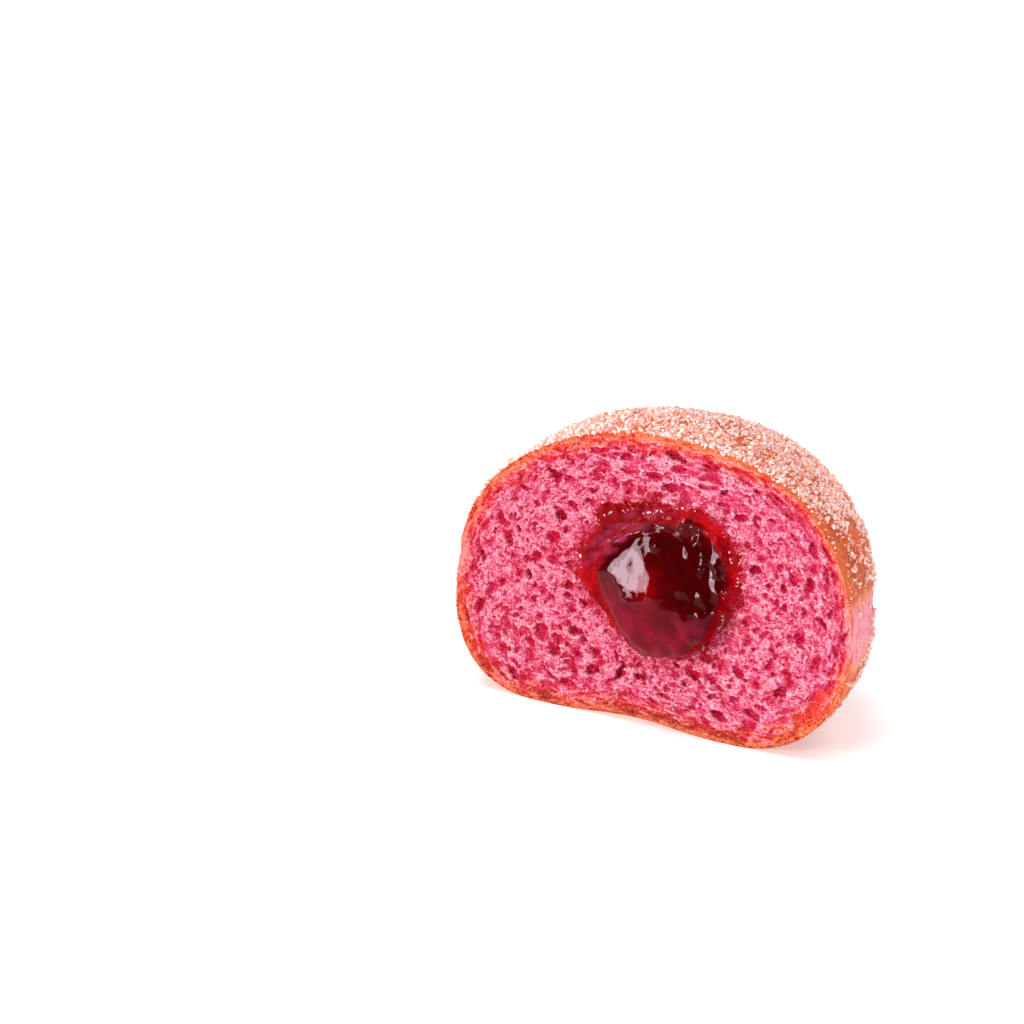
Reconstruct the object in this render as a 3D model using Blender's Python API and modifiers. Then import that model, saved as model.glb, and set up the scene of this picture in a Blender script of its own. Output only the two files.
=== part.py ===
"""Half of a round jelly filled doughnut, cut upright through its middle and standing on its own flat base.

The cut faces -Y. The dough is one turned body with a pocket at the cut, and the jelly fills that pocket and
swells out of it. Metres, +Z up, with the origin under the middle of the half, on the surface it stands on.
"""

import math

import bmesh
import bpy
from mathutils import Matrix, Vector, noise

MM = 0.001

# The doughnut's upright section: a full dome over a rounded lower half, on a flat ring round a dished base.
HALF_WIDTH = 40.6 * MM
HEIGHT = 59.2 * MM
WIDEST_AT = 23.3 * MM
DOME_TOP_POWER = 2.15
DOME_SIDE_POWER = 2.3
BELLY_POWER = 2.25
RING_OUTER_RADIUS = 20.0 * MM
RING_INNER_RADIUS = 17.0 * MM
DISH_DEPTH = 1.2 * MM

# The pale waist, where the two fried sides meet in a crease. It is shallow at the cut, where the knife
# pressed it flat, deeper behind, and wanders a little in depth.
CREASE_HEIGHT = 26.5 * MM
CREASE_DEPTH_AT_CUT = 0.35 * MM
CREASE_DEPTH_BEHIND = 1.1 * MM
CREASE_DEEPENS_OVER = 25.0 * MM
CREASE_HALF_WIDTH = 2.2 * MM
CREASE_WANDER = 0.2
CREASE_WANDER_TURNS = 3.0

# How the risen dough departs from a turned body: it leans and sways to +X, more so behind, is drawn in
# behind towards the top, has sagged where the knife went through, and swells unevenly all over.
LEAN = 0.125
SWAY = 0.42 * MM
SWAY_START = 8.0 * MM
SWAY_PITCH = 45.0 * MM
SKEW_BEHIND = 0.06
DEPTH_AT_CROWN = 0.865
CROWN_RISE = 1.6 * MM
CROWN_RISE_REACH = 12.0 * MM
SWELL = 0.4 * MM
SWELL_LENGTH = 24.0 * MM
SWELL_SEED = Vector((3.1, 7.4, 1.9))
SWELL_STARTS_ABOVE = 0.5 * MM
SWELL_FULL_ABOVE = 8.0 * MM

# The knife passes this far in front of the doughnut's axis.
CUT_BEFORE_AXIS = 0.4 * MM

# The jelly: an uneven mouth in the cut, a rounded pocket behind it, and a swell in front that hangs a little.
# Each lobe is (number of waves round the mouth, height of the wave, phase).
MOUTH_X = 5.6 * MM
MOUTH_Z = 30.0 * MM
MOUTH_RADIUS = 13.7 * MM
MOUTH_LOBES = ((2, 0.8 * MM, -0.2), (3, 0.8 * MM, -0.9), (5, 0.3 * MM, -2.0))
POCKET_DEPTH = 13.0 * MM
JELLY_SWELL = 4.6 * MM
JELLY_HANG = 2.4 * MM
JELLY_SWELL_POWER = 0.8
CLEARANCE = 0.3 * MM

# Fineness of the meshes.
TURN_STEPS = 96
DOME_ROWS = 20
BELLY_ROWS = 11
CREASE_ROWS_EACH_SIDE = 4
CREASE_ROW_GAP = 0.9 * MM
DISH_ROWS = 4
JELLY_SEGMENTS = 44
JELLY_RINGS = 22
SMOOTH_UNDER = math.radians(35.0)


def clear_scene():
    """Removes every object that the file opened with."""
    for item in list(bpy.data.objects):
        bpy.data.objects.remove(item, do_unlink=True)


def smoothstep(value):
    """Eases from 0 to 1 as value goes from 0 to 1, and stays level outside that."""
    t = min(1.0, max(0.0, value))
    return t * t * (3.0 - 2.0 * t)


def half_width_at(height):
    """The section's half width at a height, before the crease and the uneven rising."""
    if height >= WIDEST_AT:
        up = min(1.0, (height - WIDEST_AT) / (HEIGHT - WIDEST_AT))
        return HALF_WIDTH * (1.0 - up**DOME_TOP_POWER) ** (1.0 / DOME_SIDE_POWER)
    down = 1.0 - height / WIDEST_AT
    overhang = HALF_WIDTH - RING_OUTER_RADIUS
    return RING_OUTER_RADIUS + overhang * (1.0 - down**BELLY_POWER) ** (1.0 / BELLY_POWER)


def section_heights():
    """Heights of the section's rows from the crown to the base, packed closer at the crown, base and crease."""
    quarter = math.pi / 2.0
    dome = [math.sin(quarter * (1.0 - row / DOME_ROWS)) for row in range(DOME_ROWS)]
    belly = [math.sin(quarter * row / BELLY_ROWS) for row in range(BELLY_ROWS + 1)]
    rows = [WIDEST_AT + (HEIGHT - WIDEST_AT) * share ** (2.0 / DOME_TOP_POWER) for share in dome]
    rows += [WIDEST_AT * (1.0 - share) for share in belly]
    sides = range(-CREASE_ROWS_EACH_SIDE, CREASE_ROWS_EACH_SIDE + 1)
    crease = [CREASE_HEIGHT + CREASE_ROW_GAP * side for side in sides]
    reach = CREASE_ROW_GAP * (CREASE_ROWS_EACH_SIDE + 0.6)
    return sorted([z for z in rows if abs(z - CREASE_HEIGHT) > reach] + crease, reverse=True)


def section_profile():
    """The section at +X: from the crown down the outside, across the flat ring and up the dish to the axis."""
    profile = [(half_width_at(height), height) for height in section_heights()]
    for row in range(DISH_ROWS + 1):
        share = row / DISH_ROWS
        profile.append((RING_INNER_RADIUS * (1.0 - share), DISH_DEPTH * smoothstep(share)))
    return profile


def settled(point):
    """Moves a point of the turned body to where it lies on the real, slightly lopsided doughnut."""
    outward = Vector((point.x, point.y, 0.0)).normalized()
    around = math.atan2(point.y, point.x)
    from_crease = (point.z - CREASE_HEIGHT) / CREASE_HALF_WIDTH
    wander = 1.0 + CREASE_WANDER * math.sin(CREASE_WANDER_TURNS * around)
    deepened = smoothstep(point.y / CREASE_DEEPENS_OVER)
    depth = CREASE_DEPTH_AT_CUT + (CREASE_DEPTH_BEHIND - CREASE_DEPTH_AT_CUT) * deepened
    pinch = depth * wander * math.exp(-(from_crease**2))
    clear_of_base = smoothstep((point.z - SWELL_STARTS_ABOVE) / (SWELL_FULL_ABOVE - SWELL_STARTS_ABOVE))
    rising = SWELL * noise.noise(point / SWELL_LENGTH + SWELL_SEED) * clear_of_base

    crown = point.z / HEIGHT
    x, y, z = point + outward * (rising - pinch) + Vector((0.0, 0.0, rising * crown))
    y *= 1.0 + (DEPTH_AT_CROWN - 1.0) * crown
    x += LEAN * z + SWAY * math.sin(math.tau * (z - SWAY_START) / SWAY_PITCH) + SKEW_BEHIND * y
    z += CROWN_RISE * crown * smoothstep(y / CROWN_RISE_REACH)
    return Vector((x, y + CUT_BEFORE_AXIS, z))


def turned_dough_mesh():
    """The whole doughnut: its section turned about the axis with Screw, made a mesh, then settled."""
    guide_mesh = bpy.data.meshes.new("section")
    profile = section_profile()
    edges = [(row, row + 1) for row in range(len(profile) - 1)]
    guide_mesh.from_pydata([(radius, 0.0, height) for radius, height in profile], edges, [])
    guide = bpy.data.objects.new("section", guide_mesh)
    bpy.context.scene.collection.objects.link(guide)

    turn = guide.modifiers.new("turn", "SCREW")
    turn.angle = math.tau
    turn.steps = TURN_STEPS
    turn.render_steps = TURN_STEPS
    turn.use_merge_vertices = True
    turn.merge_threshold = 0.00005

    graph = bpy.context.evaluated_depsgraph_get()
    mesh = bpy.data.meshes.new_from_object(guide.evaluated_get(graph))
    mesh.name = "dough"
    bpy.data.objects.remove(guide, do_unlink=True)
    for vertex in mesh.vertices:
        vertex.co = settled(vertex.co.copy())
    return mesh


def jelly_point(direction, grow):
    """Where the jelly's surface lies in a unit direction from the middle of its mouth, with the whole grown."""
    around = math.atan2(direction.z, direction.x)
    outwards = math.hypot(direction.x, direction.z)
    lobes = sum(height * math.sin(waves * around + phase) for waves, height, phase in MOUTH_LOBES)
    radius = MOUTH_RADIUS + lobes + grow
    if direction.y >= 0.0:
        reach = radius * outwards
        return Vector((reach * math.cos(around), direction.y * (POCKET_DEPTH + grow), reach * math.sin(around)))
    forward = -direction.y
    reach = radius * outwards**JELLY_SWELL_POWER
    hang = JELLY_HANG * forward * outwards
    proud = (JELLY_SWELL + grow) * forward**JELLY_SWELL_POWER
    return Vector((reach * math.cos(around), -proud, reach * math.sin(around) - hang))


def jelly_mesh(name, grow):
    """A UV sphere with its poles along Y, shaped to the jelly."""
    shape = bmesh.new()
    poles_along_y = Matrix.Rotation(math.radians(90.0), 4, "X")
    bmesh.ops.create_uvsphere(
        shape, u_segments=JELLY_SEGMENTS, v_segments=JELLY_RINGS, radius=1.0, matrix=poles_along_y
    )
    for vertex in shape.verts:
        vertex.co = jelly_point(vertex.co.normalized(), grow) + Vector((MOUTH_X, 0.0, MOUTH_Z))
    bmesh.ops.recalc_face_normals(shape, faces=shape.faces)
    mesh = bpy.data.meshes.new(name)
    shape.to_mesh(mesh)
    shape.free()
    return mesh


def block_before_cut_mesh():
    """A box over everything in front of the cut, larger than the doughnut on its other sides."""
    depth = 3.0 * HALF_WIDTH
    shape = bmesh.new()
    bmesh.ops.create_cube(shape, size=1.0)
    bmesh.ops.scale(shape, vec=(4.0 * HALF_WIDTH, depth, 2.0 * HEIGHT), verts=shape.verts)
    bmesh.ops.translate(shape, vec=(0.0, -depth / 2.0, HEIGHT / 2.0), verts=shape.verts)
    mesh = bpy.data.meshes.new("block_before_cut")
    shape.to_mesh(mesh)
    shape.free()
    return mesh


def food_material(name, colour, roughness):
    """A Principled material in the food's own colour."""
    material = bpy.data.materials.new(name)
    material.use_nodes = True
    shader = material.node_tree.nodes["Principled BSDF"]
    shader.inputs["Base Color"].default_value = (*colour, 1.0)
    shader.inputs["Roughness"].default_value = roughness
    shader.inputs["Metallic"].default_value = 0.0
    return material


def add_piece(name, mesh, material, collection):
    """One named piece of the doughnut, shaded smooth but for its cut edges."""
    mesh.materials.clear()
    mesh.materials.append(material)
    mesh.shade_smooth()
    mesh.set_sharp_from_angle(angle=SMOOTH_UNDER)
    piece = bpy.data.objects.new(name, mesh)
    collection.objects.link(piece)
    return piece


def add_cutter(mesh, collection):
    """A helper that only the Booleans read."""
    cutter = bpy.data.objects.new(mesh.name, mesh)
    cutter.hide_render = True
    cutter.display_type = "WIRE"
    collection.objects.link(cutter)
    return cutter


def cut_away(piece, cutter):
    """Takes a cutter's shape out of a piece."""
    boolean = piece.modifiers.new("less " + cutter.name, "BOOLEAN")
    boolean.operation = "DIFFERENCE"
    boolean.solver = "EXACT"
    boolean.object = cutter


def middle_of(pieces):
    """The middle of the pieces in X and Y, after their cuts, at the height of the base."""
    bpy.context.view_layer.update()
    graph = bpy.context.evaluated_depsgraph_get()
    corners = [Vector(corner) for piece in pieces for corner in piece.evaluated_get(graph).bound_box]
    xs = [corner.x for corner in corners]
    ys = [corner.y for corner in corners]
    return Vector(((min(xs) + max(xs)) / 2.0, (min(ys) + max(ys)) / 2.0, 0.0))


def main():
    clear_scene()
    parts = bpy.data.collections.new("jelly_doughnut_half")
    cutters = bpy.data.collections.new("cutters")
    for collection in (parts, cutters):
        bpy.context.scene.collection.children.link(collection)

    crust_brown = food_material("fried_dough", (0.66, 0.20, 0.13), 0.75)
    jelly_red = food_material("jelly", (0.20, 0.004, 0.008), 0.12)

    dough = add_piece("dough", turned_dough_mesh(), crust_brown, parts)
    cut_away(dough, add_cutter(block_before_cut_mesh(), cutters))
    cut_away(dough, add_cutter(jelly_mesh("pocket", CLEARANCE), cutters))
    jelly = add_piece("jelly", jelly_mesh("jelly", 0.0), jelly_red, parts)

    stand = bpy.data.objects.new("stand_point", None)
    stand.location = -middle_of([dough, jelly])
    parts.objects.link(stand)
    for item in [*parts.objects, *cutters.objects]:
        if item != stand:
            item.parent = stand


main()
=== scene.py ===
import math

import bmesh
import bpy
import numpy as np
from mathutils import Matrix, Vector, noise


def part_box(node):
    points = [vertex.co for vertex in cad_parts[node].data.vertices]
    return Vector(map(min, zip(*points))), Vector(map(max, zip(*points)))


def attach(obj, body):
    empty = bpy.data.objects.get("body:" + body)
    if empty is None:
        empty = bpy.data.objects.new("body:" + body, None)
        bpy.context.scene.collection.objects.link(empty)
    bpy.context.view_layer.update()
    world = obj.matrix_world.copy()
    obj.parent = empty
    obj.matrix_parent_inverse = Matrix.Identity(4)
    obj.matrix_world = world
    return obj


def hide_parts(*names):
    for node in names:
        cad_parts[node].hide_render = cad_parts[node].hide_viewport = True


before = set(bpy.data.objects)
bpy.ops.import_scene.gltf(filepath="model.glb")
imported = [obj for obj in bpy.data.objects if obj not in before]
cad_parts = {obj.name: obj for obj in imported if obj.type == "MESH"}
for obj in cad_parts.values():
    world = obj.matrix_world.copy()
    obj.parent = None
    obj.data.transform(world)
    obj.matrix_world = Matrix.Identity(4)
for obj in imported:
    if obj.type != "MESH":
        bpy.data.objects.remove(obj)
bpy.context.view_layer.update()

MM = 0.001


# ------------------------------------------------------------------------------------------------------
# The fried skin. A ball of yeast dough, proved and fried floating, so both sides brown and the waist
# that stayed above the oil is left as a pale band. It is one turned body, stood on a flat ring round a
# shallow dish, and the knife went down just in front of its axis. A thin shell, open only at the cut.
HALF_WIDTH = 40.6 * MM
HEIGHT = 59.2 * MM
WIDEST_AT = 23.3 * MM
DOME_TOP_POWER = 2.15
DOME_SIDE_POWER = 2.3
BELLY_POWER = 2.25
RING_OUTER_RADIUS = 20.0 * MM
RING_INNER_RADIUS = 17.0 * MM
DISH_DEPTH = 1.2 * MM
CREASE_HEIGHT = 26.5 * MM
CREASE_DEPTH_AT_CUT = 0.35 * MM
CREASE_DEPTH_BEHIND = 1.1 * MM
CREASE_DEEPENS_OVER = 25.0 * MM
CREASE_HALF_WIDTH = 2.2 * MM
CREASE_WANDER = 0.2
CREASE_WANDER_TURNS = 3.0
LEAN = 0.125
SWAY = 0.42 * MM
SWAY_START = 8.0 * MM
SWAY_PITCH = 45.0 * MM
SKEW_BEHIND = 0.06
DEPTH_AT_CROWN = 0.865
CROWN_RISE = 1.6 * MM
CROWN_RISE_REACH = 12.0 * MM
SWELL = 0.4 * MM
SWELL_LENGTH = 24.0 * MM
SWELL_SEED = Vector((3.1, 7.4, 1.9))
SWELL_STARTS_ABOVE = 0.5 * MM
SWELL_FULL_ABOVE = 8.0 * MM
CUT_BEFORE_AXIS = 0.4 * MM

DOME_ROWS = 152
BELLY_ROWS = 80
RING_ROWS = 4
DISH_ROWS = 14
TURN_STEPS = 340
SKIN_THICKNESS = 1.5 * MM
SKIN_INSIDE_STEP = 10  # the inside has one point for every ten outside, both ways
LIP_SET_BACK = 2.5 * MM
PIMPLE_SIZE = 0.75 * MM
PIMPLE_HEIGHT = 0.09 * MM
DIMPLE_SIZE = 2.6 * MM
DIMPLE_DEPTH = 0.26 * MM
STRETCH_MARK_WIDTH = 0.9 * MM
STRETCH_MARK_HEIGHT = 0.30 * MM
WAIST_REACH = 4.6 * MM

BARE_CRUST = (0.70, 0.122, 0.038)
DARK_CRUST = (0.52, 0.078, 0.024)
PALE_WAIST = (0.95, 0.36, 0.41)
PINK_WAIST = (0.84, 0.12, 0.21)


def smoothstep(share):
    share = np.clip(share, 0.0, 1.0)
    return share * share * (3.0 - 2.0 * share)


def blend_of(low, high, share):
    """Low where share is 0 and high where it is 1, for colours as well as for numbers."""
    return np.asarray(low) + (np.asarray(high) - np.asarray(low)) * share[..., None]


def add(tree, kind, inputs=(), **settings):
    """Places one node in a tree, sets or joins its inputs by name or number, and gives its outputs."""
    made = tree.nodes.new(kind)
    for name, value in settings.items():
        setattr(made, name, value)
    for key, value in dict(inputs).items():
        if isinstance(value, bpy.types.NodeSocket):
            tree.links.new(value, made.inputs[key])
        else:
            made.inputs[key].default_value = value
    return made.outputs


def maths(tree, operation, first, second=0.0, third=0.0, clamp=False):
    inputs = {0: first, 1: second, 2: third}
    return add(tree, "ShaderNodeMath", inputs, operation=operation, use_clamp=clamp)[0]


def geometry_tree(name, sizes):
    """A new Geometry Nodes tree with these named inputs after its geometry, and its input sockets."""
    tree = bpy.data.node_groups.new(name, "GeometryNodeTree")
    for label, kind in {"Geometry": "NodeSocketGeometry", **sizes}.items():
        tree.interface.new_socket(label, in_out="INPUT", socket_type=kind)
    tree.interface.new_socket("Geometry", in_out="OUTPUT", socket_type="NodeSocketGeometry")
    return tree, tree.nodes.new("NodeGroupInput").outputs


def finish_tree(tree, geometry, material):
    real = add(tree, "GeometryNodeRealizeInstances", {0: geometry})[0]
    faced = add(tree, "GeometryNodeSetMaterial", {"Geometry": real, "Material": material})[0]
    tree.links.new(faced, tree.nodes.new("NodeGroupOutput").inputs[0])


def mesh_from(tree, piece, sizes):
    """The plain mesh that a tree makes from a piece, with the tree's named inputs set to these sizes."""
    modifier = piece.modifiers.new(tree.name, "NODES")
    modifier.node_group = tree
    for item in tree.interface.items_tree:
        if item.item_type == "SOCKET" and item.in_out == "INPUT" and item.name in sizes:
            modifier[item.identifier] = sizes[item.name]
    graph = bpy.context.evaluated_depsgraph_get()
    mesh = bpy.data.meshes.new_from_object(piece.evaluated_get(graph), depsgraph=graph)
    piece.modifiers.remove(modifier)
    return mesh


def points_of(mesh):
    points = np.empty(len(mesh.vertices) * 3)
    mesh.vertices.foreach_get("co", points)
    return points.reshape(-1, 3)


def new_piece(name, mesh, material=None):
    piece = bpy.data.objects.new(name, mesh)
    bpy.context.scene.collection.objects.link(piece)
    if material:
        mesh.materials.clear()
        mesh.materials.append(material)
    return piece


def closed_mesh(name, points, faces, smooth=True):
    """One closed mesh whose faces all look outwards."""
    mesh = bpy.data.meshes.new(name)
    mesh.from_pydata(np.asarray(points).tolist(), [], faces)
    work = bmesh.new()
    work.from_mesh(mesh)
    bmesh.ops.recalc_face_normals(work, faces=work.faces)
    if work.calc_volume(signed=True) < 0:
        bmesh.ops.reverse_faces(work, faces=work.faces)
    open_edges = sum(not edge.is_manifold for edge in work.edges)
    if open_edges:
        raise ValueError(f"{name} has {open_edges} open edges")
    work.to_mesh(mesh)
    work.free()
    mesh.shade_smooth() if smooth else mesh.shade_flat()
    return mesh


def tint(mesh, colours):
    """Keeps one colour for each point of a mesh, as the attribute Tint."""
    kept = mesh.color_attributes.new("Tint", "FLOAT_COLOR", "POINT")
    kept.data.foreach_set("color", np.column_stack([colours, np.ones(len(colours))]).ravel())


def new_material(name, **finish):
    """A material with its Principled shader, whose sockets are set by name."""
    material = bpy.data.materials.new(name)
    material.use_nodes = True
    shader = material.node_tree.nodes["Principled BSDF"]
    for socket, value in finish.items():
        shader.inputs[socket.replace("_", " ")].default_value = value
    return material, material.node_tree, shader.inputs


def noise_at(tree, place, size, detail=2.0, roughness=0.55, distortion=0.0):
    """Soft noise from 0 to 1 whose waves are about this long."""
    inputs = {"Vector": place, "Scale": 1.0 / size, "Detail": detail, "Roughness": roughness}
    return add(tree, "ShaderNodeTexNoise", {**inputs, "Distortion": distortion})[0]


def ramp(tree, share, stops):
    """A colour ramp on a 0 to 1 value. Stops are (place, colour)."""
    outputs = add(tree, "ShaderNodeValToRGB", {0: share})
    elements = outputs[0].node.color_ramp.elements
    while len(elements) < len(stops):
        elements.new(1.0)
    for element, (place, colour) in zip(elements, stops):
        element.position = place
        element.color = (*colour, 1.0)
    return outputs[0]


def mix_colour(tree, share, low, high, kind="MIX"):
    inputs = {0: share, 6: low, 7: high}
    inputs = {k: (*v, 1.0) if isinstance(v, tuple) else v for k, v in inputs.items()}
    return add(tree, "ShaderNodeMix", inputs, data_type="RGBA", blend_type=kind)[2]


def spread(tree, value, low, high):
    """The value taken from between low and high to 0 to 1, with soft ends."""
    inputs = {0: value, 1: low, 2: high, 3: 0.0, 4: 1.0}
    return add(tree, "ShaderNodeMapRange", inputs, interpolation_type="SMOOTHSTEP")[0]


def stretched(tree, place, scale):
    return add(tree, "ShaderNodeVectorMath", {0: place, 1: scale}, operation="MULTIPLY")[0]


def bumped(tree, height, distance, strength=1.0, under=None):
    inputs = {"Strength": strength, "Distance": distance, "Height": height}
    if under:
        inputs["Normal"] = under
    return add(tree, "ShaderNodeBump", inputs)[0]


def half_turn_tree():
    """Turns a section half round its upright axis, then raises the skin's pimples, dimples and, at the
    waist, the upright stretch marks of dough that swelled after its edges had set."""
    tree, given = geometry_tree("half turn", {
        "Turn Steps": "NodeSocketInt", "Pimple Size": "NodeSocketFloat",
        "Pimple Height": "NodeSocketFloat", "Dimple Size": "NodeSocketFloat",
        "Dimple Depth": "NodeSocketFloat", "Mark Width": "NodeSocketFloat",
        "Mark Height": "NodeSocketFloat", "Waist Height": "NodeSocketFloat",
        "Waist Reach": "NodeSocketFloat", "Material": "NodeSocketMaterial"})
    rows = add(tree, "GeometryNodeAttributeDomainSize", {0: given["Geometry"]})["Point Count"]
    sheet = add(tree, "GeometryNodeMeshGrid", {
        "Size X": 1.0, "Size Y": 1.0, "Vertices X": given["Turn Steps"], "Vertices Y": rows})[0]
    place = add(tree, "GeometryNodeInputPosition")[0]
    across = add(tree, "ShaderNodeSeparateXYZ", {0: place})
    angle = maths(tree, "MULTIPLY", maths(tree, "ADD", across[0], 0.5), math.pi)
    row = maths(tree, "MULTIPLY", maths(tree, "ADD", across[1], 0.5), maths(tree, "SUBTRACT", rows, 1.0))
    row = add(tree, "FunctionNodeFloatToInt", {0: row}, rounding_mode="ROUND")[0]
    at_row = add(tree, "GeometryNodeSampleIndex",
                 {"Geometry": given["Geometry"], "Value": place, "Index": row}, data_type="FLOAT_VECTOR")[0]
    turned = add(tree, "ShaderNodeVectorRotate", {"Vector": at_row, "Angle": angle}, rotation_type="Z_AXIS")[0]
    body = add(tree, "GeometryNodeSetPosition", {"Geometry": sheet, "Position": turned})[0]

    def waves(length, detail, vector=place):
        scale = maths(tree, "DIVIDE", 1.0, length)
        found = add(tree, "ShaderNodeTexNoise", {"Vector": vector, "Scale": scale, "Detail": detail})[0]
        return maths(tree, "SUBTRACT", found, 0.5)

    height = add(tree, "ShaderNodeSeparateXYZ", {0: place})[2]
    pimples = maths(tree, "MULTIPLY", waves(given["Pimple Size"], 2.0), given["Pimple Height"])
    dimples = maths(tree, "MULTIPLY", waves(given["Dimple Size"], 3.0), given["Dimple Depth"])
    from_waist = maths(tree, "DIVIDE", maths(tree, "SUBTRACT", height, given["Waist Height"]), given["Waist Reach"])
    near_waist = maths(tree, "EXPONENT", maths(tree, "MULTIPLY", maths(tree, "MULTIPLY", from_waist, from_waist), -1.0))
    upright = stretched(tree, place, (1.0, 1.0, 0.3))
    marks = maths(tree, "MULTIPLY", waves(given["Mark Width"], 2.0, upright), given["Mark Height"])
    folds = maths(tree, "MULTIPLY", waves(given["Dimple Size"], 2.0, stretched(tree, place, (0.5, 0.5, 2.2))),
                  given["Mark Height"])
    marks = maths(tree, "MULTIPLY", maths(tree, "ADD", marks, folds), near_waist)
    clear_of_base = spread(tree, height, 0.3 * MM, 3.0 * MM)
    raised = maths(tree, "MULTIPLY_ADD", 2.0, maths(tree, "ADD", pimples, dimples), maths(tree, "MULTIPLY", marks, 2.0))
    raised = maths(tree, "MULTIPLY", raised, clear_of_base)
    outward = add(tree, "GeometryNodeInputNormal")[0]
    offset = add(tree, "ShaderNodeVectorMath", {0: outward, "Scale": raised}, operation="SCALE")[0]
    finish_tree(tree, add(tree, "GeometryNodeSetPosition", {"Geometry": body, "Offset": offset})[0],
                given["Material"])
    return tree


def section_rows():
    """The doughnut's half section from the crown to the middle of the dish, as (reach, 0, height)."""
    quarter = math.pi / 2
    rows = []
    for angle in np.linspace(0.0, quarter, DOME_ROWS, endpoint=False):
        up = math.cos(angle) ** (2.0 / DOME_TOP_POWER)
        rows.append((HALF_WIDTH * math.sin(angle) ** (2.0 / DOME_SIDE_POWER),
                     WIDEST_AT + (HEIGHT - WIDEST_AT) * up))
    for angle in np.linspace(0.0, quarter, BELLY_ROWS, endpoint=False):
        down = math.sin(angle) ** (2.0 / BELLY_POWER)
        over = math.cos(angle) ** (2.0 / BELLY_POWER)
        rows.append((RING_OUTER_RADIUS + (HALF_WIDTH - RING_OUTER_RADIUS) * over, WIDEST_AT * (1.0 - down)))
    for reach in np.linspace(RING_OUTER_RADIUS, RING_INNER_RADIUS, RING_ROWS, endpoint=False):
        rows.append((reach, 0.0))
    for share in np.linspace(0.0, 1.0, DISH_ROWS):
        rows.append((RING_INNER_RADIUS * (1.0 - share), DISH_DEPTH * smoothstep(share)))
    return [(reach, 0.0, height) for reach, height in rows]


def settled(points):
    """Where points of the turned body come to rest: pinched at the waist, swollen, leaned and swayed."""
    x, y, z = points.T
    reach = np.maximum(np.hypot(x, y), 1e-9)
    around = np.arctan2(y, x)
    from_crease = (z - CREASE_HEIGHT) / CREASE_HALF_WIDTH
    wander = 1.0 + CREASE_WANDER * np.sin(CREASE_WANDER_TURNS * around)
    depth = blend_of([CREASE_DEPTH_AT_CUT], [CREASE_DEPTH_BEHIND], smoothstep(y / CREASE_DEEPENS_OVER))[:, 0]
    pinch = depth * wander * np.exp(-(from_crease**2))
    clear_of_base = smoothstep((z - SWELL_STARTS_ABOVE) / (SWELL_FULL_ABOVE - SWELL_STARTS_ABOVE))
    swells = np.array([noise.noise(Vector(point) / SWELL_LENGTH + SWELL_SEED) for point in points])
    rising = SWELL * swells * clear_of_base
    crown = z / HEIGHT
    x = x + x / reach * (rising - pinch)
    y = y + y / reach * (rising - pinch)
    z = z + rising * crown
    y = y * (1.0 + (DEPTH_AT_CROWN - 1.0) * crown)
    x = x + LEAN * z + SWAY * np.sin(math.tau * (z - SWAY_START) / SWAY_PITCH) + SKEW_BEHIND * y
    z = z + CROWN_RISE * crown * smoothstep(y / CROWN_RISE_REACH)
    return np.column_stack([x, y + CUT_BEFORE_AXIS, z])


def half_turned_faces(columns, rows, first=0):
    """Faces of a sheet of columns whose top and bottom rows each close to one point, and the number of
    the point at each column and row."""
    number = np.empty((columns, rows), int)
    number[:, 0], number[:, -1] = first, first + 1
    number[:, 1:-1] = first + 2 + np.arange(columns * (rows - 2)).reshape(columns, rows - 2)
    a, b, c, d = number[:-1, :-1], number[1:, :-1], number[1:, 1:], number[:-1, 1:]
    faces = np.stack([a, b, c, d], axis=-1)
    middle = faces[:, 1:-1].reshape(-1, 4).tolist()
    return [*middle, *faces[:, 0, [0, 2, 3]].tolist(), *faces[:, -1, :3].tolist()], number


def packed_rows(grid):
    """The points of a half turned sheet in the order in which half_turned_faces numbers them."""
    return np.vstack([grid[0, 0], grid[0, -1], grid[:, 1:-1].reshape(-1, 3)])


def edge_loop(grid):
    """The sheet's edge at the cut: down one side and up the other. Works on points and on numbers."""
    return np.concatenate([grid[0], grid[-1, -2:0:-1]])


def angles_round(points, middle):
    return np.arctan2(points[:, 2] - middle[2], points[:, 0] - middle[0])


def zipped(loop_a, angle_a, loop_b, angle_b):
    """Triangles that join two closed loops which run round the same middle."""
    order_a, order_b = np.argsort(angle_a), np.argsort(angle_b)
    loop_a, angle_a = np.asarray(loop_a)[order_a], np.append(angle_a[order_a], angle_a.min() + math.tau)
    loop_b, angle_b = np.asarray(loop_b)[order_b], np.append(angle_b[order_b], angle_b.min() + math.tau)
    faces, i, j = [], 0, 0
    count_a, count_b = len(loop_a), len(loop_b)
    while i < count_a or j < count_b:
        a, b = int(loop_a[i % count_a]), int(loop_b[j % count_b])
        if j >= count_b or (i < count_a and angle_a[i + 1] <= angle_b[j + 1]):
            i += 1
            faces.append((a, int(loop_a[i % count_a]), b))
        else:
            j += 1
            faces.append((a, int(loop_b[j % count_b]), b))
    return faces


crust_material, tree, shader = new_material(
    "fried_crust", Roughness=0.5, Specular_IOR_Level=0.12, Subsurface_Weight=0.12,
    Subsurface_Radius=(1.0, 0.35, 0.2), Subsurface_Scale=0.8 * MM)
place = add(tree, "ShaderNodeTexCoord")["Object"]
height = add(tree, "ShaderNodeSeparateXYZ", {0: place})[2]
wobble = maths(tree, "SUBTRACT", noise_at(tree, place, 9 * MM, 3.0), 0.5)
ragged = maths(tree, "SUBTRACT", noise_at(tree, stretched(tree, place, (1, 1, 0.35)), 1.6 * MM, 3.0), 0.5)
level = maths(tree, "MULTIPLY_ADD", wobble, 5 * MM, height)
level = maths(tree, "MULTIPLY_ADD", ragged, 4 * MM, level)
above_waist = spread(tree, level, 30.5 * MM, 34.5 * MM)
below_waist = spread(tree, level, 22.0 * MM, 18.5 * MM)
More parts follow.
